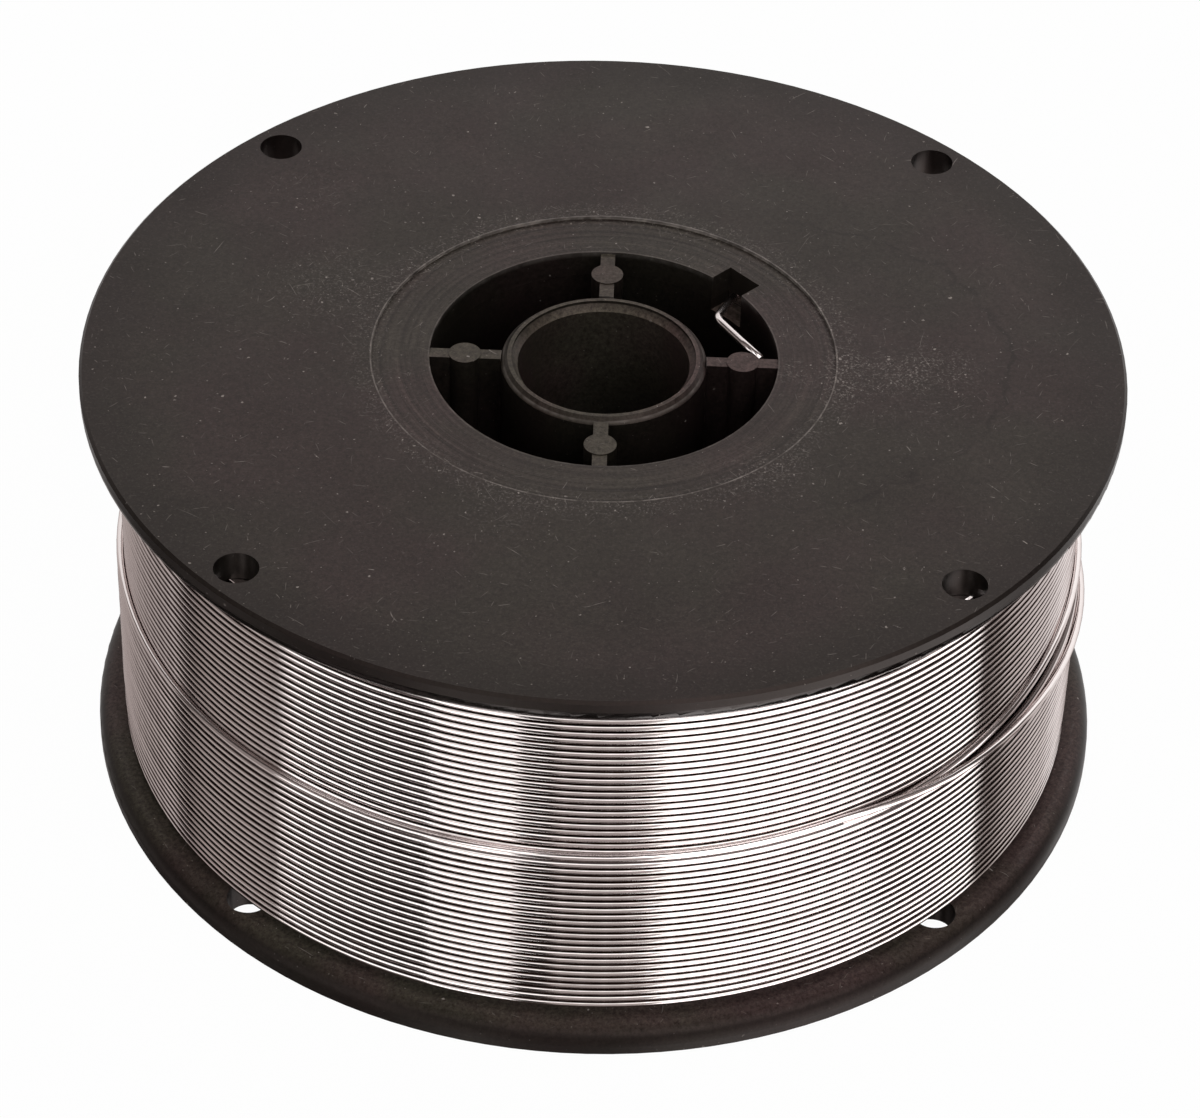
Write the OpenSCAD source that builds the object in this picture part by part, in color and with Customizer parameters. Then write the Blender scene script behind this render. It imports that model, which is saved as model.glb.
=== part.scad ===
// Wire spool: a one-piece moulded spool, wound nearly full with bare metal wire.
// Millimetres. The origin lies on the bore's axis in the plane of the lower outer face, and +Z runs up the bore.

/* [Flanges] */
// Outside diameter of both flanges
flange_d = 100; // [96:0.5:120]
// Width over the two outer faces
spool_w = 44.4; // [44:0.1:60]
// Thickness of each flange
flange_t = 3; // [2.4:0.1:4]
// Rounding of each flange's inner edge, where the wire runs off
inner_round = 1.8; // [0.8:0.1:2]
// Bevel of each flange's outer edge
outer_bevel = 0.3; // [0.1:0.1:0.5]
// Diameter of the recess round the middle of each outer face
recess_d = 44.5; // [41:0.5:60]
// Depth of that recess
recess_depth = 0.3; // [0.2:0.05:0.8]

/* [Holes near the rim] */
// Diameter of each hole
hole_d = 4.2; // [3:0.1:4.6]
// Distance from a hole's centre to the rim
hole_edge = 3.5; // [3.4:0.1:6]
// Number of holes in each flange
hole_count = 4; // [2:1:8]
// Angle of the first hole round the axis, counted from the first web
hole_angle = 46; // [40:0.5:50]

/* [Barrel] */
// Outside diameter of the barrel that carries the wire
barrel_d = 38; // [36:0.5:40]
// Thickness of the barrel's wall
barrel_wall = 2.3; // [1.8:0.1:3]

/* [Hub] */
// Diameter of the spindle bore
bore_d = 16.5; // [16:0.1:17.5]
// Outside diameter of the hub tube
hub_d = 19.7; // [19.3:0.1:21]
// How far the hub tube lies below each outer face
hub_setback = 0.35; // [0.1:0.05:1]
// Width of the lead-in cone at each end of the bore
lead_in = 0.6; // [0.1:0.1:0.6]
// Depth from the hub tube's end to the cone's foot
lead_in_depth = 0.9; // [0.6:0.1:2]
// Width and depth of the slope round the outside of the hub tube's ends
hub_slope = 0.6; // [0.1:0.1:0.7]
// Thickness of each web between hub tube and barrel
web_t = 1.4; // [1:0.1:2]
// How far the webs' edges lie below the hub tube's ends
web_setback = 0.2; // [0:0.05:0.5]
// Diameter of the round column on each web
column_d = 3.1; // [2:0.1:4]
// Distance from the bore's axis to each column
column_r = 13.3; // [12.8:0.1:13.6]

/* [Wire slot] */
// Width of the slot that lets the wire's start into a pocket
slot_w = 4; // [2.8:0.1:5]
// Angle of the slot's middle round the axis
slot_angle = 45; // [40:1:50]
// How far the slot reaches past the flange into the barrel
slot_below = 1.2; // [1.2:0.1:4]

/* [Wire] */
// Diameter of the wire
wire_d = 0.8; // [0.6:0.1:0.9]
// How far the rim stands above the top layer of wire
rim_above_wire = 2.6; // [2.4:0.1:8]
// Height of the top layer's last turn above the lower flange
top_layer_h = 19.4; // [16:0.1:20]
// Loops shown of the top layer, on the lower half
lower_loops = 12; // [6:1:12]
// Loops shown of the layer below it, on the upper half
upper_loops = 11; // [6:1:11]
// How far the last loop strays sideways where it lies loose
loose_rise = 3.4; // [0:0.1:3.6]

/* [Hidden] */
$fn = 96;
eps = 0.01;
flange_r = flange_d / 2;
hole_r = flange_r - hole_edge;
barrel_r = barrel_d / 2;
pocket_r = barrel_r - barrel_wall;
hub_r = hub_d / 2;
bore_r = bore_d / 2;
step_depth = 0.3;
wire_r = wire_d / 2;
inner_low = flange_t;
inner_high = spool_w - flange_t;
// A layer lies in the grooves of the layer below it, so it adds less than a wire's diameter.
layer_rise = wire_d * sin(60);
top_r = flange_r - rim_above_wire;
below_r = top_r - layer_rise;
lower_line_r = top_r - wire_r;
upper_line_r = below_r - wire_r;
step_z = inner_low + top_layer_h;
loop_rings = 24;
loop_sides = 6;
// Where the top layer's last loop ends and the free end begins, and where the last loop lies loose
end_angle = -60;
loose_angle = -5;
loose_half = 55;
slot_floor_r = barrel_r + 0.05;
slot_bottom = inner_high - slot_below;
plastic = [0.17, 0.155, 0.145];
metal = [0.80, 0.78, 0.76];

function unit(v) = v / norm(v);
function polar(r, a, z) = [r * cos(a), r * sin(a), z];
function swell(a, mid, half) = abs(a - mid) >= half ? 0 : pow(cos(90 * (a - mid) / half), 2);

// One ring of a tube: corners round point p, square to direction t
function ring(p, t, ref, r, sides) =
    let (s = unit(cross(t, ref)), u = cross(s, t))
    [for (k = [0 : sides - 1]) p + r * (cos(360 * k / sides) * s + sin(360 * k / sides) * u)];

// A closed tube of triangles along a path; refs holds a direction per point that the path never runs along
module tube(path, refs, r, sides) {
    n = len(path);
    points = [for (i = [0 : n - 1])
        let (t = unit(path[min(i + 1, n - 1)] - path[max(i - 1, 0)]))
        each ring(path[i], t, refs[i], r, sides)];
    walls = [for (i = [0 : n - 2], k = [0 : sides - 1])
        let (a = i * sides + k, b = i * sides + (k + 1) % sides)
        each [[a, a + sides, b + sides], [a, b + sides, b]]];
    first = [for (k = [1 : sides - 2]) [0, k, k + 1]];
    last = [for (k = [1 : sides - 2]) [(n - 1) * sides, (n - 1) * sides + k + 1, (n - 1) * sides + k]];
    polyhedron(points, concat(walls, first, last));
}

// The wire's rise out of the layers below: straight out for one diameter, then bent into the turn's direction.
// way is 1 where the wire comes out and -1 where it goes back in.
function rise(r, a, z, way) =
    let (out = [cos(a), sin(a), 0], along = [-sin(a), cos(a), 0] * way, low = r - wire_d)
    concat([out * (low - wire_d) + [0, 0, z]],
        [for (t = [0 : 30 : 90]) out * (low + wire_d * sin(t)) + along * wire_d * (1 - cos(t)) + [0, 0, z]]);
function reversed(list) = [for (i = [len(list) - 1 : -1 : 0]) list[i]];

// Top layer, from the lower flange up to the step, as one helix
lower_z0 = inner_low + wire_r + 0.05;
lower_n = lower_loops * loop_rings;
end_along = [-sin(end_angle), cos(end_angle), 0];
function lower_z(turn) = lower_z0 + (step_z - wire_r - lower_z0) * turn / lower_loops
    + (turn > lower_loops - 1 ? loose_rise * swell(360 * (turn - lower_loops) + end_angle + 360, loose_angle, loose_half) : 0);
end_start = polar(lower_line_r, end_angle, lower_z(lower_loops)) + end_along * wire_d;
lower_path = concat(
    rise(lower_line_r, end_angle, lower_z0, 1),
    [for (i = [1 : lower_n]) polar(lower_line_r, end_angle + 360 * i / loop_rings, lower_z(i / loop_rings))],
    [end_start]);

// Layer below, from the upper flange down to the step, as one helix that dips under the top layer
upper_z0 = inner_high - wire_r - 0.05;
upper_z1 = step_z + 1.2;
upper_n = upper_loops * loop_rings;
upper_path = concat(
    rise(upper_line_r, 0, upper_z0, 1),
    [for (i = [1 : upper_n - 1]) polar(upper_line_r, 360 * i / loop_rings,
        upper_z0 + (upper_z1 - upper_z0) * i / upper_n)],
    reversed(rise(upper_line_r, 0, upper_z1, -1)));

// Least gap of a tube to itself, between points from half a loop to one and a half loops apart
function least_gap(path) = min([for (i = [0 : len(path) - 1], j = [i + loop_rings / 2 : i + loop_rings * 3 / 2])
    if (j < len(path)) norm(path[i] - path[j])]) - wire_d;
echo(str("least gap of wire_lower_turns to itself, mm: ", least_gap(lower_path)));
echo(str("least gap of wire_upper_turns to itself, mm: ", least_gap(upper_path)));

// Free end: over the last loop, down across the top layer and into a hole of the lower flange
end_line_r = top_r + wire_r - 0.05;
end_z0 = end_start[2];
end_z1 = inner_low + 3;
hook_angle = hole_angle + 90;
hook_reach = 15;
hook_turn = 3;
hook_z = inner_low + 1.5;
hook_bend = 2.5;
end_tip_z = 0.6;
end_climb = 14;
function end_r(a) = lower_line_r + (end_line_r - lower_line_r) * min(1, (a - end_angle) / end_climb);
function end_z(a) = let (u = (a - end_angle) / (hook_angle - hook_reach - end_angle))
    end_z0 - (end_z0 - end_z1) * pow(u, 1.3);
end_run = [for (a = [end_angle + 3 : 3 : hook_angle - hook_reach]) polar(end_r(a), a, end_z(a))];
end_slope = [for (k = [1 : 3]) polar(end_line_r, hook_angle - hook_reach + (hook_reach - hook_turn) * k / 3,
    end_z1 + (hook_z - end_z1) * k / 3)];
end_hook = [for (t = [22.5 : 22.5 : 90])
    polar(end_line_r, hook_angle - hook_turn + hook_turn * sin(t), hook_z - hook_bend * (1 - cos(t)))];
end_path = concat([end_start], end_run, end_slope, end_hook, [polar(end_line_r, hook_angle, end_tip_z)]);

// Start of the wire: out through the slot, bent once, its cut end beside the first web
start_in = [12.7, 14.8, slot_bottom + 0.6];
start_bend = [10.7, 7.4, spool_w - 0.9];
start_end = [15.1, 1, spool_w - 0.9];
start_corner = 1.2;
start_a = start_bend + unit(start_in - start_bend) * start_corner;
start_b = start_bend + unit(start_end - start_bend) * start_corner;
start_path = concat([start_in],
    [for (t = [0 : 0.2 : 1]) pow(1 - t, 2) * start_a + 2 * t * (1 - t) * start_bend + pow(t, 2) * start_b],
    [start_end]);

module flange_profile() {
    difference() {
        union() {
            translate([pocket_r, 0]) square([flange_r - inner_round - pocket_r, flange_t]);
            translate([flange_r - inner_round, 0]) square([inner_round, flange_t - inner_round]);
            intersection() {
                translate([flange_r - inner_round, flange_t - inner_round]) circle(r = inner_round);
                translate([flange_r - inner_round - eps, flange_t - inner_round]) square(inner_round + 1);
            }
        }
        translate([flange_r, 0]) rotate(45) square(outer_bevel * sqrt(2), center = true);
        translate([pocket_r - 1, -1]) square([recess_d / 2 - pocket_r + 1, recess_depth + 1]);
    }
}

// One flange with its outer face at z = 0
module flange() {
    difference() {
        rotate_extrude() flange_profile();
        for (k = [0 : hole_count - 1])
            rotate(hole_angle + 360 * k / hole_count) translate([hole_r, 0, -1]) cylinder(d = hole_d, h = flange_t + 2);
    }
}

// The slot's square cutter, from a given height upward
module slot_cutter(z) {
    rotate(slot_angle)
        translate([pocket_r - 2, -slot_w / 2, z]) cube([slot_floor_r - pocket_r + 2, slot_w, spool_w + 1 - z]);
}

module lower_flange() {
    color(plastic) flange();
}

module upper_flange() {
    color(plastic) difference() {
        translate([0, 0, spool_w]) mirror([0, 0, 1]) flange();
        slot_cutter(inner_high - 1);
    }
}

module barrel() {
    color(plastic) difference() {
        translate([0, 0, inner_low]) cylinder(r = barrel_r, h = inner_high - inner_low);
        translate([0, 0, inner_low - 1]) cylinder(r = pocket_r, h = inner_high - inner_low + 2);
        slot_cutter(slot_bottom);
    }
}

// The tube's end: an outer slope, a narrow crest, a low step and the lead-in cone
module hub_profile() {
    low = hub_setback;
    high = spool_w - hub_setback;
    mouth_r = bore_r + lead_in;
    polygon([[bore_r, low + lead_in_depth], [mouth_r, low + step_depth], [mouth_r, low],
        [hub_r - hub_slope, low], [hub_r, low + hub_slope],
        [hub_r, high - hub_slope], [hub_r - hub_slope, high],
        [mouth_r, high], [mouth_r, high - step_depth], [bore_r, high - lead_in_depth]]);
}

module hub_tube() {
    color(plastic) rotate_extrude() hub_profile();
}

module hub_web(angle) {
    low = hub_setback + web_setback;
    column_low = low - 0.1;
    color(plastic) rotate(angle) {
        difference() {
            intersection() {
                translate([0, -web_t / 2, low]) cube([pocket_r + 1, web_t, spool_w - 2 * low]);
                cylinder(r = pocket_r, h = spool_w);
            }
            translate([0, 0, -1]) cylinder(r = hub_r, h = spool_w + 2);
        }
        translate([column_r, 0, column_low]) cylinder(d = column_d, h = spool_w - 2 * column_low);
    }
}

module wire_inner_layers() {
    color(metal) rotate_extrude() polygon([[barrel_r, inner_low], [top_r - wire_d, inner_low],
        [top_r - wire_d, step_z], [below_r - wire_d, step_z], [below_r - wire_d, inner_high],
        [barrel_r, inner_high]]);
}

module wire_upper_turns() {
    color(metal) tube(upper_path, [for (p = upper_path) [0, 0, 1]], wire_r, loop_sides);
}

module wire_lower_turns() {
    color(metal) tube(lower_path, [for (p = lower_path) [0, 0, 1]], wire_r, loop_sides);
}

module wire_start_tail() {
    color(metal) tube(start_path, [for (p = start_path) [0, 0, 1]], wire_r, 8);
}

module wire_end_tail() {
    color(metal) tube(end_path, [for (p = end_path) unit([p[0], p[1], 0])], wire_r, 8);
}

lower_flange();
upper_flange();
barrel();
hub_tube();
hub_web(0);  // hub_web_0
hub_web(90);  // hub_web_90
hub_web(180);  // hub_web_180
hub_web(270);  // hub_web_270
wire_inner_layers();
wire_upper_turns();
wire_lower_turns();
wire_start_tail();
wire_end_tail();
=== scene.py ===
import math
import bpy
from mathutils import Matrix, Vector


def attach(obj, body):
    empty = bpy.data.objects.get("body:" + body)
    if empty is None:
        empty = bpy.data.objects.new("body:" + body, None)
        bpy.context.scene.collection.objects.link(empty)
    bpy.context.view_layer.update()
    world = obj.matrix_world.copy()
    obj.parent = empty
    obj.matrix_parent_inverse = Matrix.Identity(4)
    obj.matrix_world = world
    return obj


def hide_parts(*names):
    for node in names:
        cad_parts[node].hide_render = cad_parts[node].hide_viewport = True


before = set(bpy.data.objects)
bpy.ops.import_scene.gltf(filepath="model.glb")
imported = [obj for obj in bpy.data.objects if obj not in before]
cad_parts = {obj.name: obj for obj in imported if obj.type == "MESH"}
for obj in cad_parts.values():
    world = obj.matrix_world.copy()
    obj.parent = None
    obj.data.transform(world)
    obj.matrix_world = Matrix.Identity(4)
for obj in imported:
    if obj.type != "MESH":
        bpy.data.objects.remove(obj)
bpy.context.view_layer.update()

# ---------------------------------------------------------------- camera
# A long lens looks down on the spool from its front at about forty degrees.
camera_data = bpy.data.cameras.new("view_camera")
camera_data.sensor_width = 36.0
camera_data.lens = 139.367
camera_data.clip_start = 0.01
camera = bpy.data.objects.new("view_camera", camera_data)
bpy.context.collection.objects.link(camera)
camera_turn = Matrix((
    (0.9994061, -0.0339065, 0.0061485),
    (0.0265664, 0.6444840, -0.7641561),
    (0.0219473, 0.7638656, 0.6450020),
))
camera.matrix_world = Matrix.Translation((0.003023, -0.352048, 0.315842)) @ camera_turn.to_4x4()
bpy.context.scene.camera = camera

# ---------------------------------------------------------------- floor and light
# A white table and a ring of tall soft white boards, with dark gaps between them and a dark ceiling.
# Bare wire mirrors the boards, so each board's edge is a sharp line across the turns.
scene = bpy.context.scene
scene.view_settings.view_transform = "Standard"


def add_material(name):
    material = bpy.data.materials.new(name)
    material.use_nodes = True
    material.node_tree.nodes.clear()
    return material, material.node_tree.nodes, material.node_tree.links


floor_mesh = bpy.data.meshes.new("white_table")
floor_mesh.from_pydata([(-3, -3, 0), (3, -3, 0), (3, 3, 0), (-3, 3, 0)], [], [(0, 1, 2, 3)])
floor = bpy.data.objects.new("white_table", floor_mesh)
floor.location.z = -0.0001
scene.collection.objects.link(floor)
floor_material, nodes, links = add_material("white_table")
table_diffuse = nodes.new("ShaderNodeBsdfDiffuse")
table_diffuse.inputs["Color"].default_value = (0.86, 0.86, 0.86, 1)
table_white = nodes.new("ShaderNodeEmission")
table_white.inputs["Strength"].default_value = 1.0
table_clear = nodes.new("ShaderNodeBsdfTransparent")
table_path = nodes.new("ShaderNodeLightPath")
table_share = nodes.new("ShaderNodeMath")
table_share.operation = "MULTIPLY"
table_share.inputs[1].default_value = 0.98
links.new(table_path.outputs["Is Camera Ray"], table_share.inputs[0])
table_seen = nodes.new("ShaderNodeMixShader")
links.new(table_share.outputs[0], table_seen.inputs["Fac"])
links.new(table_diffuse.outputs[0], table_seen.inputs[1])
links.new(table_white.outputs[0], table_seen.inputs[2])
table_mirrored = nodes.new("ShaderNodeMixShader")
links.new(table_path.outputs["Is Glossy Ray"], table_mirrored.inputs["Fac"])
links.new(table_seen.outputs[0], table_mirrored.inputs[1])
links.new(table_clear.outputs[0], table_mirrored.inputs[2])
# from below the table is clear, so that the spool's underside can be seen
table_side = nodes.new("ShaderNodeNewGeometry")
table_sided = nodes.new("ShaderNodeMixShader")
links.new(table_side.outputs["Backfacing"], table_sided.inputs["Fac"])
links.new(table_mirrored.outputs[0], table_sided.inputs[1])
links.new(table_clear.outputs[0], table_sided.inputs[2])
table_output = nodes.new("ShaderNodeOutputMaterial")
links.new(table_sided.outputs[0], table_output.inputs["Surface"])
floor_mesh.materials.append(floor_material)

world = bpy.data.worlds.new("studio")
scene.world = world
world.use_nodes = True
room = world.node_tree
room.nodes.clear()


def math_node(tree, operation, first, second=None, third=None):
    node = tree.nodes.new("ShaderNodeMath")
    node.operation = operation
    for index, value in enumerate((first, second, third)):
        if value is None:
            continue
        if isinstance(value, (int, float)):
            node.inputs[index].default_value = value
        else:
            tree.links.new(value, node.inputs[index])
    return node.outputs[0]


def remap(tree, value, low, high, to_low=0.0, to_high=1.0, smooth=False):
    node = tree.nodes.new("ShaderNodeMapRange")
    if smooth:
        node.interpolation_type = "SMOOTHSTEP"
    tree.links.new(value, node.inputs["Value"])
    node.inputs["From Min"].default_value = low
    node.inputs["From Max"].default_value = high
    node.inputs["To Min"].default_value = to_low
    node.inputs["To Max"].default_value = to_high
    return node.outputs["Result"]


room_place = room.nodes.new("ShaderNodeTexCoord")
room_axes = room.nodes.new("ShaderNodeSeparateXYZ")
room.links.new(room_place.outputs["Generated"], room_axes.inputs[0])
TO_DEGREES = 180 / math.pi
room_rise = math_node(room, "ARCSINE", room_axes.outputs["Z"])
room_rise = math_node(room, "MULTIPLY", room_rise, TO_DEGREES)
room_turn = math_node(room, "ARCTAN2", room_axes.outputs["Y"], room_axes.outputs["X"])
room_turn = math_node(room, "MULTIPLY", room_turn, TO_DEGREES)


def add_board(start, end, edge, low, high, low_edge, high_edge, brightness):
    # One white board: where it starts and ends round the table, how soft its sides are, its foot and
    # its top, and how soft those are, all in degrees, and then its brightness.
    away = math_node(room, "SUBTRACT", room_turn, (start + end) / 2)
    away = math_node(room, "ABSOLUTE", math_node(room, "WRAP", away, 180.0, -180.0))
    half = (end - start) / 2
    across = remap(room, away, half - edge, half + edge, brightness, 0.0, smooth=True)
    top = remap(room, room_rise, high - high_edge, high + high_edge, 1.0, 0.0, smooth=True)
    foot = remap(room, room_rise, low - low_edge, low + low_edge, 0.0, 1.0, smooth=True)
    return math_node(room, "MULTIPLY", across, math_node(room, "MULTIPLY", top, foot))


boards = [
    add_board(-158, -122.5, 0.8, -12, 35, 3, 3, 1.25),
    add_board(-170, -127, 1.0, -50, -12, 4, 4, 0.05),
    add_board(-122.5, -105.5, 1.0, 5, 33, 4, 5, 0.65),
    add_board(-122.5, -105.5, 1.0, 33, 68, 5, 4, 1.7),
    add_board(-123.5, -105.5, 1.0, -37, 0, 4, 4, 1.8),
    add_board(-127, -109, 1.0, -78, -37, 4, 4, 1.8),
    add_board(-105.5, -97, 0.8, 11, 44, 3, 3, 1.2),
    add_board(-97, -78.5, 0.8, 20, 46, 4, 3, 1.3),
    add_board(-97.5, -74.5, 1.5, -54, 20, 4, 4, 0.32),
    add_board(-78.5, -26, 1.0, 24, 60, 5, 3, 2.3),
    add_board(-74.5, -26, 1.0, 1, 24, 5, 5, 0.7),
    add_board(-74.5, -64, 1.5, -64, 1, 4, 5, 1.9),
    add_board(-64, -26, 1.2, -86, 1, 4, 5, 2.1),
    add_board(-26, -16, 1.2, -86, -20, 4, 3, 1.7),
    add_board(-26, -1, 0.8, -20, 7, 3, 3, 1.5),
    add_board(-26, -1, 0.8, 7, 62, 3, 3, 0.19),
    add_board(-19, 3, 0.8, -32, -20, 3, 3, 1.7),
    add_board(-17, 9, 0.8, -42, -32, 3, 3, 1.7),
    add_board(-16, 16, 0.8, -52, -42, 4, 3, 1.5),
    add_board(-1, 7, 0.8, -24, 0, 8, 6, 0.25),
    add_board(7, 16, 1.5, -28, 2, 8, 6, 0.55),
    add_board(16, 28, 1.5, -32, 5, 8, 6, 0.6),
    add_board(28, 92, 4.0, -45, 54, 8, 8, 1.0),
    add_board(92, 137, 4.0, -45, 54, 8, 8, 0.8),
    add_board(137, 171, 2.0, -30, 20, 8, 8, 0.4),
    add_board(165, 199, 1.5, -45, -12, 8, 6, 0.28),
    add_board(177, 201, 1.5, -90, 66, 8, 6, 0.18),
    add_board(-180, 180, 1.0, 68, 120, 4, 4, 0.05),
]
room_total = math_node(room, "ADD", boards[0], remap(room, room_rise, -12, 0, 0.02, 0.05))
for board in boards[1:]:
    room_total = math_node(room, "ADD", room_total, board)
# the dark of the room is a warm brown, and the boards are white
room_hue = room.nodes.new("ShaderNodeMix")
room_hue.data_type = "RGBA"
room_hue.inputs["A"].default_value = (1.0, 0.83, 0.78, 1)
room_hue.inputs["B"].default_value = (1.0, 0.98, 0.97, 1)
room.links.new(remap(room, room_total, 0.05, 0.9), room_hue.inputs["Factor"])
room_lit = room.nodes.new("ShaderNodeBackground")
room.links.new(room_hue.outputs["Result"], room_lit.inputs["Color"])
room.links.new(room_total, room_lit.inputs["Strength"])
room_white = room.nodes.new("ShaderNodeBackground")
room_path = room.nodes.new("ShaderNodeLightPath")
room_mix = room.nodes.new("ShaderNodeMixShader")
room.links.new(room_path.outputs["Is Camera Ray"], room_mix.inputs["Fac"])
room.links.new(room_lit.outputs[0], room_mix.inputs[1])
room.links.new(room_white.outputs[0], room_mix.inputs[2])
room_output = room.nodes.new("ShaderNodeOutputWorld")
room.links.new(room_mix.outputs[0], room_output.inputs["Surface"])

# ---------------------------------------------------------------- the moulded spool
# Flanges, barrel, hub tube and webs are one black moulding, satin from the mould. The ring round the hub
# is turned in the mould. Handling leaves fine scratches, and dust and lint lie on the top. Painted shade
# darkens the rims, and painted light pales the bore, the worn edges and, with a dust film, the up-facing
# faces.
MM = 0.001


def new_group(name, inputs, outputs):
    group = bpy.data.node_groups.new(name, "ShaderNodeTree")
    for label, kind, value in inputs:
        socket = group.interface.new_socket(label, in_out="INPUT", socket_type=kind)
        socket.default_value = value
    for label, kind in outputs:
        group.interface.new_socket(label, in_out="OUTPUT", socket_type=kind)
    return group, group.nodes.new("NodeGroupInput"), group.nodes.new("NodeGroupOutput")


def place_group(tree, group, **values):
    # A group node with its inputs set by name; an underscore stands for a space.
    node = tree.nodes.new("ShaderNodeGroup")
    node.node_tree = group
    for label, value in values.items():
        socket = node.inputs[label.replace("_", " ")]
        if isinstance(value, bpy.types.NodeSocket):
            tree.links.new(value, socket)
        else:
            socket.default_value = value
    return node


def vector_node(tree, operation, first, second=None, scale=None):
    node = tree.nodes.new("ShaderNodeVectorMath")
    node.operation = operation
    tree.links.new(first, node.inputs[0])
    if isinstance(second, tuple):
        node.inputs[1].default_value = second
    elif second is not None:
        tree.links.new(second, node.inputs[1])
    if isinstance(scale, (int, float)):
        node.inputs["Scale"].default_value = scale
    elif scale is not None:
        tree.links.new(scale, node.inputs["Scale"])
    return node


def object_point(tree):
    # The place on the piece, in millimetres.
    place = tree.nodes.new("ShaderNodeTexCoord")
    return vector_node(tree, "SCALE", place.outputs["Object"], scale=1000.0).outputs[0]


def noise_value(tree, vector, scale, detail=2.0, rough=0.5):
    node = tree.nodes.new("ShaderNodeTexNoise")
    node.inputs["Scale"].default_value = scale
    node.inputs["Detail"].default_value = detail
    node.inputs["Roughness"].default_value = rough
    tree.links.new(vector, node.inputs["Vector"])
    return node.outputs["Fac"]


def channels(tree, color):
    node = tree.nodes.new("ShaderNodeSeparateColor")
    tree.links.new(color, node.inputs[0])
    return node.outputs


VEC = "NodeSocketVector"
NUM = "NodeSocketFloat"

# where a point lies on the turned form: its distance from the axis and its direction
spool_place, entry, leave = new_group("spool_place", [("Vector", VEC, (0, 0, 0))],
                                      [("Radius", NUM), ("Turn", NUM), ("Height", NUM)])
flat = vector_node(spool_place, "MULTIPLY", entry.outputs["Vector"], (1, 1, 0))
distance = vector_node(spool_place, "LENGTH", flat.outputs[0])
spool_place.links.new(distance.outputs["Value"], leave.inputs["Radius"])
axes = spool_place.nodes.new("ShaderNodeSeparateXYZ")
spool_place.links.new(entry.outputs["Vector"], axes.inputs[0])
turn = math_node(spool_place, "ARCTAN2", axes.outputs["Y"], axes.outputs["X"])
spool_place.links.new(math_node(spool_place, "MULTIPLY", turn, TO_DEGREES), leave.inputs["Turn"])
spool_place.links.new(axes.outputs["Z"], leave.inputs["Height"])

# short hairlines, each in its own direction and slightly bent
hairlines, entry, leave = new_group(
    "hairlines",
    [("Vector", VEC, (0, 0, 0)), ("Scale", NUM, 0.3), ("Width", NUM, 0.02), ("Length", NUM, 0.4),
     ("Bend", NUM, 0.3), ("Share", NUM, 0.5)],
    [("Mask", NUM)])
spread = vector_node(hairlines, "SCALE", entry.outputs["Vector"], scale=entry.outputs["Scale"])
spread = spread.outputs[0]
cells = hairlines.nodes.new("ShaderNodeTexVoronoi")
cells.voronoi_dimensions = "2D"
cells.inputs["Scale"].default_value = 1.0
hairlines.links.new(spread, cells.inputs["Vector"])
local = vector_node(hairlines, "SUBTRACT", spread, cells.outputs["Position"]).outputs[0]
chance = channels(hairlines, cells.outputs["Color"])
axes = hairlines.nodes.new("ShaderNodeSeparateXYZ")
hairlines.links.new(local, axes.inputs[0])
angle = math_node(hairlines, "MULTIPLY", chance[0], 2 * math.pi)
cosine = math_node(hairlines, "COSINE", angle)
sine = math_node(hairlines, "SINE", angle)
x_cosine = math_node(hairlines, "MULTIPLY", axes.outputs["X"], cosine)
x_sine = math_node(hairlines, "MULTIPLY", axes.outputs["X"], sine)
y_cosine = math_node(hairlines, "MULTIPLY", axes.outputs["Y"], cosine)
y_sine = math_node(hairlines, "MULTIPLY", axes.outputs["Y"], sine)
along = math_node(hairlines, "ADD", x_cosine, y_sine)
across = math_node(hairlines, "SUBTRACT", y_cosine, x_sine)
bend = math_node(hairlines, "SUBTRACT", chance[2], 0.5)
bend = math_node(hairlines, "MULTIPLY", bend, entry.outputs["Bend"])
bow = math_node(hairlines, "MULTIPLY", bend, math_node(hairlines, "MULTIPLY", along, along))
across = math_node(hairlines, "ADD", across, bow)
thin = math_node(hairlines, "ABSOLUTE", across)
thin = math_node(hairlines, "DIVIDE", thin, entry.outputs["Width"])
own = hairlines.nodes.new("ShaderNodeTexWhiteNoise")
own.noise_dimensions = "2D"
hairlines.links.new(cells.outputs["Position"], own.inputs["Vector"])
length = remap(hairlines, own.outputs["Value"], 0, 1, 0.25, 1.0)
length = math_node(hairlines, "MULTIPLY", entry.outputs["Length"], length)
reach = math_node(hairlines, "DIVIDE", math_node(hairlines, "ABSOLUTE", along), length)
mask = math_node(hairlines, "MULTIPLY", remap(hairlines, thin, 0.5, 1.0, 1.0, 0.0),
                 remap(hairlines, reach, 0.5, 1.0, 1.0, 0.0))
chosen = math_node(hairlines, "LESS_THAN", chance[1], entry.outputs["Share"])
strong = remap(hairlines, channels(hairlines, own.outputs["Color"])[1], 0, 1, 0.25, 1.0)
mask = math_node(hairlines, "MULTIPLY", mask, strong)
hairlines.links.new(math_node(hairlines, "MULTIPLY", mask, chosen), leave.inputs["Mask"])

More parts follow.
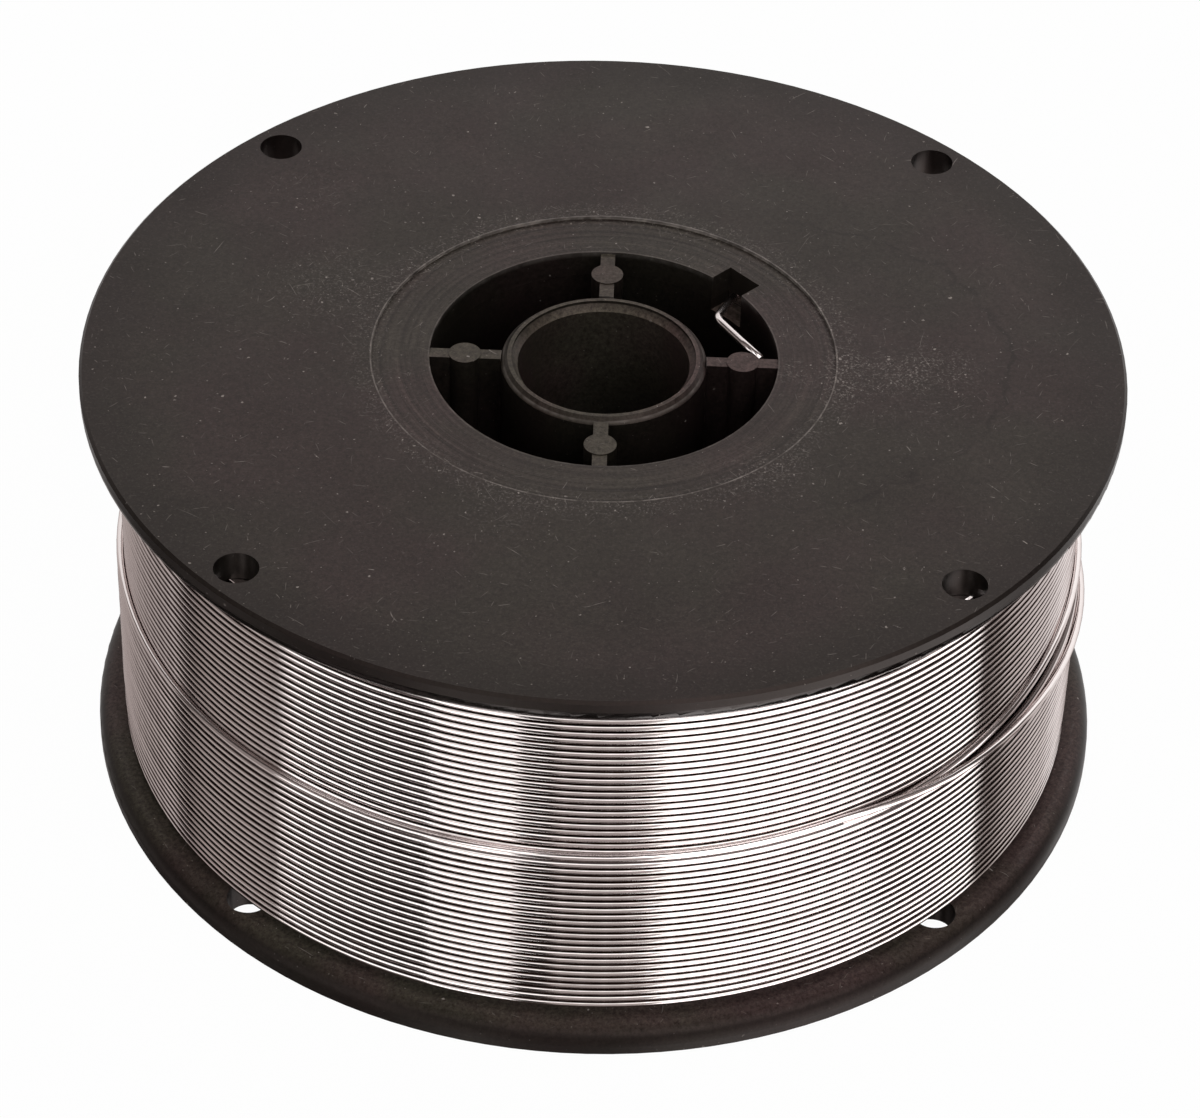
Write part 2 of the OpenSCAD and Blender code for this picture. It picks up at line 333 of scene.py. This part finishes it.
# pale specks of dust, of uneven size
specks, entry, leave = new_group(
    "dust_specks",
    [("Vector", VEC, (0, 0, 0)), ("Scale", NUM, 2.0), ("Size", NUM, 0.2), ("Share", NUM, 0.1)],
    [("Mask", NUM)])
spread = vector_node(specks, "SCALE", entry.outputs["Vector"], scale=entry.outputs["Scale"])
spread = spread.outputs[0]
ragged = specks.nodes.new("ShaderNodeTexNoise")
ragged.inputs["Scale"].default_value = 2.5
specks.links.new(spread, ragged.inputs["Vector"])
shift = vector_node(specks, "SCALE", ragged.outputs["Color"], scale=0.5).outputs[0]
shifted = vector_node(specks, "ADD", spread, shift).outputs[0]
cells = specks.nodes.new("ShaderNodeTexVoronoi")
cells.inputs["Scale"].default_value = 1.0
specks.links.new(shifted, cells.inputs["Vector"])
chance = channels(specks, cells.outputs["Color"])
size = remap(specks, chance[1], 0.0, 1.0, 0.4, 1.0)
size = math_node(specks, "MULTIPLY", entry.outputs["Size"], size)
mask = math_node(specks, "DIVIDE", cells.outputs["Distance"], size)
mask = remap(specks, mask, 0.6, 1.0, 1.0, 0.0)
chosen = math_node(specks, "LESS_THAN", chance[0], entry.outputs["Share"])
specks.links.new(math_node(specks, "MULTIPLY", mask, chosen), leave.inputs["Mask"])

# a soft round patch where dust or scratches gather
patch, entry, leave = new_group(
    "rubbed_patch",
    [("Vector", VEC, (0, 0, 0)), ("Centre", VEC, (0, 0, 0)), ("Reach", NUM, 5.0)],
    [("Mask", NUM)])
gap = vector_node(patch, "DISTANCE", entry.outputs["Vector"])
patch.links.new(entry.outputs["Centre"], gap.inputs[1])
share = math_node(patch, "DIVIDE", gap.outputs["Value"], entry.outputs["Reach"])
patch.links.new(remap(patch, share, 0.1, 1.0, 1.0, 0.0, smooth=True), leave.inputs["Mask"])

# a narrow band round the axis
band, entry, leave = new_group(
    "ring_band",
    [("Radius", NUM, 0.0), ("Middle", NUM, 10.0), ("Half Width", NUM, 1.0), ("Softness", NUM, 0.2)],
    [("Mask", NUM)])
away = math_node(band, "SUBTRACT", entry.outputs["Radius"], entry.outputs["Middle"])
away = math_node(band, "ABSOLUTE", away)
away = math_node(band, "SUBTRACT", away, entry.outputs["Half Width"])
away = math_node(band, "DIVIDE", away, entry.outputs["Softness"])
band.links.new(remap(band, away, 0.0, 1.0, 1.0, 0.0, smooth=True), leave.inputs["Mask"])

# fine circles left by the turned face of the mould
turning, entry, leave = new_group("turning_marks", [("Radius", NUM, 0.0), ("Turn", NUM, 0.0)],
                                  [("Ridge", NUM), ("Shade", NUM)])
lined = turning.nodes.new("ShaderNodeCombineXYZ")
turning.links.new(math_node(turning, "MULTIPLY", entry.outputs["Radius"], 6.0), lined.inputs["X"])
turning.links.new(math_node(turning, "MULTIPLY", entry.outputs["Turn"], 0.012), lined.inputs["Y"])
turning.links.new(noise_value(turning, lined.outputs[0], 1.0, 4.0, 0.65), leave.inputs["Ridge"])
wide = turning.nodes.new("ShaderNodeCombineXYZ")
turning.links.new(math_node(turning, "MULTIPLY", entry.outputs["Radius"], 2.2), wide.inputs["X"])
turning.links.new(math_node(turning, "MULTIPLY", entry.outputs["Turn"], 0.008), wide.inputs["Y"])
turning.links.new(noise_value(turning, wide.outputs[0], 1.0, 3.0, 0.6), leave.inputs["Shade"])


spool_width = 44.4


def moulding(name, dusty_patches, top_dust_and_light_depth, rim_painted_shade, bore_painted_light, gloss, stained):
    # dusty_patches: where dust lies and how far it reaches, in mm, how dense it is, and how rubbed;
    # the film depth: how much paler the up-facing faces are, by a dust film and by painted light; the rim
    # and bore tones: how dark painted shade leaves the rim and how pale painted light leaves the bore;
    # gloss: how strongly it mirrors; stained: whether the dried edge of a splash shows.
    material, nodes, links = add_material(name)
    tree = material.node_tree
    point = object_point(tree)
    place = place_group(tree, spool_place, Vector=point)
    radius, direction = place.outputs["Radius"], place.outputs["Turn"]

    def add(first, second):
        return math_node(tree, "ADD", first, second)

    def times(first, second):
        return math_node(tree, "MULTIPLY", first, second)

    def ring(middle, half, soft):
        marked = place_group(tree, band, Radius=radius, Middle=middle, Half_Width=half, Softness=soft)
        return marked.outputs[0]

    normal = nodes.new("ShaderNodeNewGeometry")
    upright = nodes.new("ShaderNodeSeparateXYZ")
    links.new(normal.outputs["Normal"], upright.inputs[0])
    flatness = remap(tree, math_node(tree, "ABSOLUTE", upright.outputs["Z"]), 0.8, 0.98)
    topside = remap(tree, upright.outputs["Z"], 0.6, 0.95)
    # where dust gathers: a little everywhere, more round the recess and in the patches
    gather = add(0.09, times(ring(22.9, 0.6, 1.8), 0.30))
    rubbed = times(ring(23.0, 0.8, 2.5), 0.35)
    for centre, reach, dust, rub in dusty_patches:
        mask = place_group(tree, patch, Vector=point, Centre=centre, Reach=reach).outputs[0]
        gather = add(gather, times(mask, dust))
        rubbed = add(rubbed, times(mask, rub))
    fine_dust = place_group(tree, specks, Vector=point, Scale=2.6, Size=0.26, Share=gather).outputs[0]
    coarse_dust = place_group(tree, specks, Vector=point, Scale=1.1, Size=0.20,
                              Share=times(gather, 0.55)).outputs[0]
    short_lines = place_group(tree, hairlines, Vector=point, Scale=0.75, Width=0.032,
                              Length=0.55, Bend=0.5, Share=add(rubbed, 0.22)).outputs[0]
    long_lines = place_group(tree, hairlines, Vector=point, Scale=0.27, Width=0.010,
                             Length=0.5, Bend=0.5, Share=add(rubbed, 0.08)).outputs[0]
    lint = place_group(tree, hairlines, Vector=point, Scale=0.15, Width=0.010,
                       Length=0.16, Bend=5.0, Share=0.10).outputs[0]
    powder = remap(tree, noise_value(tree, point, 3.6, 3.0, 0.7), 0.52, 0.66)
    powder = times(powder, math_node(tree, "MINIMUM", gather, 1.0))
    powder = times(powder, remap(tree, flatness, 0.0, 1.0, 0.15, 1.0))
    grit = add(times(fine_dust, 0.6), times(coarse_dust, 1.2))
    dust_and_edge_highlight = add(times(powder, 0.60), times(grit, remap(tree, flatness, 0.0, 1.0, 0.3, 1.0)))
    lines = add(add(times(short_lines, 0.40), times(long_lines, 0.60)), lint)
    dust_and_edge_highlight = add(dust_and_edge_highlight, times(lines, flatness))
    # worn edges with painted edge highlights: pale lines at the recess, the hub tube's lips and the
    # barrel's mouth, near the faces alone
    worn_and_lit_edges = add(times(ring(22.30, 0.05, 0.07), 0.60), times(ring(9.72, 0.10, 0.10), 0.75))
    worn_and_lit_edges = add(worn_and_lit_edges, times(ring(16.76, 0.04, 0.08), 0.22))
    from_middle = math_node(tree, "ABSOLUTE", add(place.outputs["Height"], -spool_width / 2))
    worn_and_lit_edges = times(worn_and_lit_edges, remap(tree, from_middle, 21.3, 21.7))
    edge_breakup = remap(tree, noise_value(tree, point, 0.5, 3.0), 0.3, 0.7, 0.3, 1.0)
    dust_and_edge_highlight = add(dust_and_edge_highlight, times(worn_and_lit_edges, edge_breakup))
    dust_and_edge_highlight = times(dust_and_edge_highlight, remap(tree, noise_value(tree, point, 0.9, 2.0), 0.35, 0.6, 0.4, 1.0))
    dust_and_edge_highlight = math_node(tree, "MINIMUM", dust_and_edge_highlight, 0.85)
    # tone: broad soft blotches, fine grain, the turned ring, painted shade towards the rim, painted light
    # in the bore and on up-facing faces with a dust film, and the dried edge of a splash
    mottled = remap(tree, noise_value(tree, point, 0.09, 6.0, 0.65), 0.3, 0.7, 0.78, 1.22)
    grain = remap(tree, noise_value(tree, point, 2.4, 5.0, 0.8), 0.3, 0.7, 0.2, 1.8)
    marks = place_group(tree, turning, Radius=radius, Turn=direction)
    turned = times(ring(19.4, 2.85, 0.1), flatness)
    shade = remap(tree, marks.outputs["Shade"], 0.3, 0.7, 0.3, 2.2)
    ring_tone = add(1.0, times(turned, add(shade, -1.0)))
    tone = times(times(mottled, grain), ring_tone)
    # painted shade: darker towards the rim
    tone = times(tone, remap(tree, radius, 42.0, 49.0, 1.0, rim_painted_shade, smooth=True))
    # painted light: paler inside the bore
    tone = times(tone, remap(tree, radius, 8.3, 9.0, bore_painted_light, 1.0))
    # a dust film and painted light: up-facing faces paler
    dust_and_light_on_top = times(topside, top_dust_and_light_depth)
    tone = times(tone, add(1.0, dust_and_light_on_top))
    if stained:
        wobble = noise_value(tree, point, 0.16, 4.0, 0.55)
        shore = math_node(tree, "COSINE", times(direction, math.radians(1.5)))
        shore = add(add(times(shore, 14.2), 24.8), remap(tree, wobble, 0.3, 0.7, -1.8, 1.8))
        off = math_node(tree, "SUBTRACT", radius, shore)
        line = remap(tree, math_node(tree, "ABSOLUTE", off), 0.12, 0.5, 1.0, 0.0, smooth=True)
        side = remap(tree, math_node(tree, "ABSOLUTE", direction), 38.0, 62.0, 1.0, 0.0, smooth=True)
        broken = remap(tree, noise_value(tree, point, 0.35, 2.0), 0.38, 0.55)
        dried = times(times(line, side), times(broken, flatness))
        inside = times(remap(tree, off, -2.5, 0.0, 0.0, 1.0), remap(tree, off, 0.0, 0.2, 1.0, 0.0))
        tone = times(tone, remap(tree, dried, 0.0, 1.0, 1.0, 0.40))
        tone = times(tone, remap(tree, times(inside, side), 0.0, 1.0, 1.0, 0.86))
    hue = nodes.new("ShaderNodeMix")
    hue.data_type = "RGBA"
    hue.inputs["A"].default_value = (0.0092, 0.0082, 0.0062, 1)
    hue.inputs["B"].default_value = (0.0112, 0.0074, 0.0070, 1)
    links.new(remap(tree, noise_value(tree, point, 0.06, 3.0), 0.4, 0.6), hue.inputs["Factor"])
    plain = nodes.new("ShaderNodeMix")
    plain.data_type = "RGBA"
    plain.blend_type = "MULTIPLY"
    plain.inputs["Factor"].default_value = 1.0
    links.new(hue.outputs["Result"], plain.inputs["A"])
    tone_color = nodes.new("ShaderNodeCombineColor")
    for index in range(3):
        links.new(tone, tone_color.inputs[index])
    links.new(tone_color.outputs[0], plain.inputs["B"])
    # the dust colour, laid on by dust, scratches, lint and the painted edge highlights
    dust_and_highlight_mix = nodes.new("ShaderNodeMix")
    dust_and_highlight_mix.data_type = "RGBA"
    dust_and_highlight_mix.inputs["B"].default_value = (0.42, 0.38, 0.35, 1)
    links.new(dust_and_edge_highlight, dust_and_highlight_mix.inputs["Factor"])
    links.new(plain.outputs["Result"], dust_and_highlight_mix.inputs["A"])
    rough = remap(tree, noise_value(tree, point, 0.13, 4.0), 0.3, 0.7, 0.35, 0.43)
    rough = add(rough, times(times(turned, add(marks.outputs["Ridge"], -0.5)), 0.35))
    rough = add(rough, times(dust_and_edge_highlight, 0.25))
    # the round of each flange's edge is polished by the mould and mirrors the bright wire
    rim = times(remap(tree, radius, 47.7, 48.3), remap(tree, upright.outputs["Z"], -0.3, 0.0, 1.0, 0.0))
    rough = math_node(tree, "MAXIMUM", add(rough, times(rim, -0.26)), 0.12)
    relief = times(times(turned, marks.outputs["Ridge"]), 2.0)
    relief = add(times(noise_value(tree, point, 2.2, 2.0), 0.35), relief)
    bump = nodes.new("ShaderNodeBump")
    bump.inputs["Strength"].default_value = 0.35
    bump.inputs["Distance"].default_value = 0.00004
    links.new(relief, bump.inputs["Height"])
    shader = nodes.new("ShaderNodeBsdfPrincipled")
    shader.inputs["Specular IOR Level"].default_value = gloss
    shader.inputs["Specular Tint"].default_value = (1.0, 0.80, 0.74, 1)
    links.new(dust_and_highlight_mix.outputs["Result"], shader.inputs["Base Color"])
    links.new(rough, shader.inputs["Roughness"])
    links.new(bump.outputs["Normal"], shader.inputs["Normal"])
    output = nodes.new("ShaderNodeOutputMaterial")
    links.new(shader.outputs[0], output.inputs["Surface"])
    return material


top_plastic = moulding("black_plastic_top", [
    ((23.0, -0.8, spool_width), 3.5, 0.90, 0.40),
    ((23.2, -4.5, spool_width), 3.5, 0.50, 0.30),
    ((28.3, -1.6, spool_width), 4.5, 0.70, 0.50),
    ((32.5, -0.5, spool_width), 5.0, 0.45, 0.40),
    ((28.0, -4.0, spool_width), 12.0, 0.10, 0.35),
    ((18.5, -1.8, spool_width), 3.0, 0.45, 0.20),
    ((-26.5, 9.5, spool_width), 8.5, 0.30, 0.75),
    ((16.0, -17.5, spool_width), 6.0, 0.30, 0.45),
    ((-29.5, 25.0, spool_width), 6.0, 0.08, 0.80),
    ((-8.5, -23.5, spool_width), 6.5, 0.18, 0.55),
    ((20.0, 8.0, spool_width), 7.0, 0.10, 0.25),
], top_dust_and_light_depth=1.25, rim_painted_shade=0.45, bore_painted_light=1.0, gloss=0.35, stained=True)
plastic = moulding("black_plastic", [
    ((24.0, 10.0, 0.0), 10.0, 0.12, 0.40),
    ((-20.0, -22.0, 0.0), 9.0, 0.10, 0.50),
], top_dust_and_light_depth=4.8, rim_painted_shade=0.75, bore_painted_light=1.0, gloss=0.20, stained=False)
# the cored-out middle is dull and has no dust patches; painted light pales its bore, and a dust film with
# painted light pales its up-facing tops
core_plastic = moulding("black_plastic_core", [], top_dust_and_light_depth=5.8, rim_painted_shade=1.0, bore_painted_light=2.6,
                        gloss=0.24, stained=False)
for name in ("lower_flange", "upper_flange", "barrel", "hub_tube", "hub_web_0", "hub_web_90",
             "hub_web_180", "hub_web_270"):
    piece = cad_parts[name]
    piece.data.materials.clear()
    if name == "upper_flange":
        piece.data.materials.append(top_plastic)
    elif name == "lower_flange":
        piece.data.materials.append(plastic)
    else:
        piece.data.materials.append(core_plastic)

# ---------------------------------------------------------------- the wire on the spool
# One bare drawn wire of 0.8 mm, wound in even layers. The last full layer shows on the upper half.
# The top layer covers the lower half, and its last turn and the free end lie loose at one side.
wire_r = 0.4 * MM
wire_sides = 12
flange_gap = 0.01 * MM
inner_low = 3.0 * MM
inner_high = 41.4 * MM
top_line_r = 46.98 * MM
below_line_r = 46.28 * MM
steps_per_turn = 144

# the flanks, where turns lie against each other, get painted shade, a darker colour away from each turn's
# outer crest; die lines run along the wire
drawn_wire, entry, leave = new_group(
    "drawn_wire",
    [("Vector", VEC, (0, 0, 0)), ("Line Radius", NUM, 46.0), ("Last Height", NUM, 100.0)],
    [("Flank Shade", NUM), ("Die Lines", NUM), ("Handling", NUM)])
place = place_group(drawn_wire, spool_place, Vector=entry.outputs["Vector"])
outward = math_node(drawn_wire, "SUBTRACT", place.outputs["Radius"], entry.outputs["Line Radius"])
wire_mm = wire_r / MM
# painted shade: the wire is darkened wherever it lies inward of its outer crest
flank_shade = remap(drawn_wire, outward, 0.62 * wire_mm, 0.80 * wire_mm, 1.0, 0.0, smooth=True)
# the last turn of a layer climbs to Last Height at minus sixty degrees, and gets less painted shade above
# its middle
share = math_node(drawn_wire, "WRAP", place.outputs["Turn"], 300.0, -60.0)
middle = remap(drawn_wire, share, -60.0, 300.0, -0.82, 0.0)
middle = math_node(drawn_wire, "ADD", entry.outputs["Last Height"], middle)
below_middle = math_node(drawn_wire, "LESS_THAN", place.outputs["Height"], middle)
last_turn_shade_share = remap(drawn_wire, below_middle, 0.0, 1.0, 0.88, 1.0)
drawn_wire.links.new(math_node(drawn_wire, "MULTIPLY", flank_shade, last_turn_shade_share), leave.inputs["Flank Shade"])
lined = drawn_wire.nodes.new("ShaderNodeCombineXYZ")
for label, axis, fineness in (("Radius", "X", 14.0), ("Turn", "Y", 0.05), ("Height", "Z", 14.0)):
    stretched = math_node(drawn_wire, "MULTIPLY", place.outputs[label], fineness)
    drawn_wire.links.new(stretched, lined.inputs[axis])
drawn_wire.links.new(noise_value(drawn_wire, lined.outputs[0], 1.0, 1.0, 0.6), leave.inputs["Die Lines"])
drawn_wire.links.new(noise_value(drawn_wire, entry.outputs["Vector"], 0.35, 4.0), leave.inputs["Handling"])


def wire_finish(name, line_radius, last_height=100.0, dulled=0.0):
    material, nodes, links = add_material(name)
    tree = material.node_tree
    point = object_point(tree)
    drawn = place_group(tree, drawn_wire, Vector=point, Line_Radius=line_radius, Last_Height=last_height)
    # the wire's colour, mixed towards dark brown by painted shade on the flanks and by handling marks
    tone = nodes.new("ShaderNodeMix")
    tone.data_type = "RGBA"
    tone.inputs["A"].default_value = (0.92, 0.86, 0.85, 1)
    tone.inputs["B"].default_value = (0.042, 0.024, 0.020, 1)
    dark = math_node(tree, "MULTIPLY", remap(tree, drawn.outputs["Handling"], 0.62, 0.72), 0.08)
    links.new(math_node(tree, "MAXIMUM", drawn.outputs["Flank Shade"], dark), tone.inputs["Factor"])
    rough = remap(tree, drawn.outputs["Die Lines"], 0.3, 0.7, 0.06 + dulled, 0.12 + dulled)
    rough = math_node(tree, "ADD", rough, remap(tree, drawn.outputs["Handling"], 0.45, 0.75, 0.0, 0.05))
    rough = math_node(tree, "MULTIPLY_ADD", drawn.outputs["Flank Shade"], 0.12, rough)
    shader = nodes.new("ShaderNodeBsdfPrincipled")
    shader.inputs["Metallic"].default_value = 1.0
    shader.inputs["Specular Tint"].default_value = (0.45, 0.40, 0.39, 1)
    links.new(tone.outputs["Result"], shader.inputs["Base Color"])
    links.new(rough, shader.inputs["Roughness"])
    output = nodes.new("ShaderNodeOutputMaterial")
    links.new(shader.outputs[0], output.inputs["Surface"])
    return material


def tube_mesh(name, line, radius, sides, sideways):
    # A round wire along a line of points; sideways gives a direction the line never takes, per point.
    mesh = bpy.data.meshes.new(name)
    corners = []
    count = len(line)
    for i in range(count):
        along = (line[min(i + 1, count - 1)] - line[max(i - 1, 0)]).normalized()
        first = along.cross(sideways[i]).normalized()
        second = first.cross(along)
        for k in range(sides):
            angle = 2 * math.pi * k / sides
            corners.append(line[i] + radius * (math.cos(angle) * first + math.sin(angle) * second))
    faces = []
    for i in range(count - 1):
        for k in range(sides):
            a = i * sides + k
            b = i * sides + (k + 1) % sides
            faces.append((a, b, b + sides, a + sides))
    faces.append(tuple(range(sides - 1, -1, -1)))
    faces.append(tuple(range((count - 1) * sides, count * sides)))
    mesh.from_pydata(corners, [], faces)
    mesh.update()
    for polygon in mesh.polygons:
        polygon.use_smooth = len(polygon.vertices) == 4
    return mesh


def add_piece(name, mesh, material):
    piece = bpy.data.objects.new(name, mesh)
    scene.collection.objects.link(piece)
    mesh.materials.append(material)
    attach(piece, "root")
    return piece


def ring_point(radius, degrees, height):
    a = math.radians(degrees)
    return Vector((radius * math.cos(a), radius * math.sin(a), height))


def swell(angle, middle, half):
    if abs(angle - middle) >= half:
        return 0.0
    return math.cos(math.pi / 2 * (angle - middle) / half) ** 2


def outward_refs(line):
    return [Vector((p.x, p.y, 0)).normalized() for p in line]


# the layer below: it climbs out at the upper flange and runs down to well under the top layer
below_turns = 24
below_pitch = 0.8 * MM
line = []
for i in range(below_turns * steps_per_turn + 1):
    turn = i / steps_per_turn
    climb = min(1.0, 360 * turn / 35)
    wander = 0.012 * MM * math.sin(9.3 * turn) + 0.008 * MM * math.sin(23.1 * turn)
    radius = below_line_r - 0.62 * MM * (1 - climb) ** 2 + wander
    height = inner_high - wire_r - flange_gap - below_pitch * turn
    line.append(ring_point(radius, 100 + 360 * turn, height))
below_mesh = tube_mesh("wire_layer_below", line, wire_r, wire_sides, outward_refs(line))
below_finish = wire_finish("bare_wire_below", below_line_r / MM)
wire_below = add_piece("wire_layer_below", below_mesh, below_finish)
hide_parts("wire_upper_turns")

# the top layer climbs out at the lower flange, runs up to mid height, and its last turn lifts at one side
end_angle = -60.0
start_angle = 15.0
top_pitch = 0.8178 * MM
full_turns = 22 + (end_angle - start_angle) % 360 / 360
line = []
for i in range(int((full_turns + 1) * steps_per_turn) + 1):
    turn = i / steps_per_turn
    climb = min(1.0, 360 * turn / 35)
    wander = 0.012 * MM * math.sin(8.1 * turn) + 0.008 * MM * math.sin(19.7 * turn)
    height = inner_low + wire_r + flange_gap + top_pitch * turn
    lift = 360 * (turn - full_turns)
    if lift > 0:
        height += 2.4 * MM * swell(end_angle + lift, -5, 55)
    radius = top_line_r - 0.62 * MM * (1 - climb) ** 2 + wander
    line.append(ring_point(radius, start_angle + 360 * turn, height))
# the free end lies on the top layer and runs down round the back to the hole of the lower flange
end_height = line[-1].z
free_line_r = top_line_r + 0.75 * MM
slope_from = 6.0 * MM
hook_angle = 136.0
for degrees in range(-57, 122, 3):
    share = (degrees - end_angle) / (121 - end_angle)
    out = min(1.0, (degrees - end_angle) / 14)
    line.append(ring_point(top_line_r + (free_line_r - top_line_r) * out, degrees,
                           end_height - (end_height - slope_from) * share ** 1.3))
for k in (1, 2, 3):
    line.append(ring_point(free_line_r, 121 + 4 * k, slope_from - 0.5 * MM * k))
for k in range(1, 7):
    bend = math.radians(15 * k)
    height = 4.5 * MM - 2.5 * MM * (1 - math.cos(bend))
    line.append(ring_point(free_line_r, 133 + 3 * math.sin(bend), height))
line.append(ring_point(free_line_r, hook_angle, 0.7 * MM))
top_mesh = tube_mesh("wire_top_layer", line, wire_r, wire_sides, outward_refs(line))
wire_top = add_piece("wire_top_layer", top_mesh, wire_finish("bare_wire", top_line_r / MM))
# the last turn has nothing above it, so its upper side gets less painted shade, and the free end gets none
# all round
last_height = (inner_low + wire_r + flange_gap + top_pitch * full_turns) / MM
loose_wire = wire_finish("bare_wire_loose", 0.0)
top_mesh.materials.append(wire_finish("bare_wire_last", top_line_r / MM, last_height))
top_mesh.materials.append(loose_wire)
first_loose = round(full_turns * steps_per_turn) * wire_sides
first_last = round((full_turns - 1) * steps_per_turn) * wire_sides
for polygon in top_mesh.polygons:
    if polygon.index >= first_loose:
        polygon.material_index = 2
    elif polygon.index >= first_last:
        polygon.material_index = 1
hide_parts("wire_lower_turns", "wire_end_tail")

# the layers inside, a ring of turns that shows only through the holes and the slot
inner_mesh = bpy.data.meshes.new("wire_inner")
profile = []
inner_steps = 46 * 3
core_r = 19.05 * MM
inner_gap = 0.05 * MM
layer_step = 21.5 * MM
for k in range(inner_steps + 1):
    height = inner_low + inner_gap + (inner_high - inner_low - 2 * inner_gap) * k / inner_steps
    scallop = 0.12 * MM * abs(math.sin(math.pi * k / 3))
    outside = (top_line_r if height < layer_step else below_line_r) - wire_r - 0.1 * MM
    profile.append((outside - 0.1 * MM + scallop, height))
profile.append((core_r, inner_high - inner_gap))
profile.append((core_r, inner_low + inner_gap))
segments = 120
corners = []
for k in range(segments):
    a = 2 * math.pi * k / segments
    for radius, height in profile:
        corners.append((radius * math.cos(a), radius * math.sin(a), height))
faces = []
ring_size = len(profile)
for k in range(segments):
    here = k * ring_size
    beside = (k + 1) % segments * ring_size
    for j in range(ring_size):
        a = here + j
        b = here + (j + 1) % ring_size
        c = beside + (j + 1) % ring_size
        d = beside + j
        faces.append((a, d, c, b))
inner_mesh.from_pydata(corners, [], faces)
inner_mesh.update()
wire_inner = add_piece("wire_inner", inner_mesh, loose_wire)
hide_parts("wire_inner_layers")

# the start of the wire, pulled through the slot and bent over
start_in = Vector((12.7, 14.8, 40.8)) * MM
start_bend = Vector((10.7, 7.4, 43.5)) * MM
start_end = Vector((15.1, 1.0, 43.5)) * MM
near = start_bend + (start_in - start_bend).normalized() * 1.2 * MM
far = start_bend + (start_end - start_bend).normalized() * 1.2 * MM
line = [start_in, (start_in + near) / 2]
for k in range(9):
    t = k / 8
    line.append(near * (1 - t) ** 2 + start_bend * 2 * t * (1 - t) + far * t * t)
line += [(start_end + far) / 2, start_end]
start_mesh = tube_mesh("wire_start", line, wire_r, 16, [Vector((0, 0, 1))] * len(line))
start_finish = wire_finish("bare_wire_start", 0.0, dulled=0.10)
wire_start = add_piece("wire_start", start_mesh, start_finish)
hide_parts("wire_start_tail")
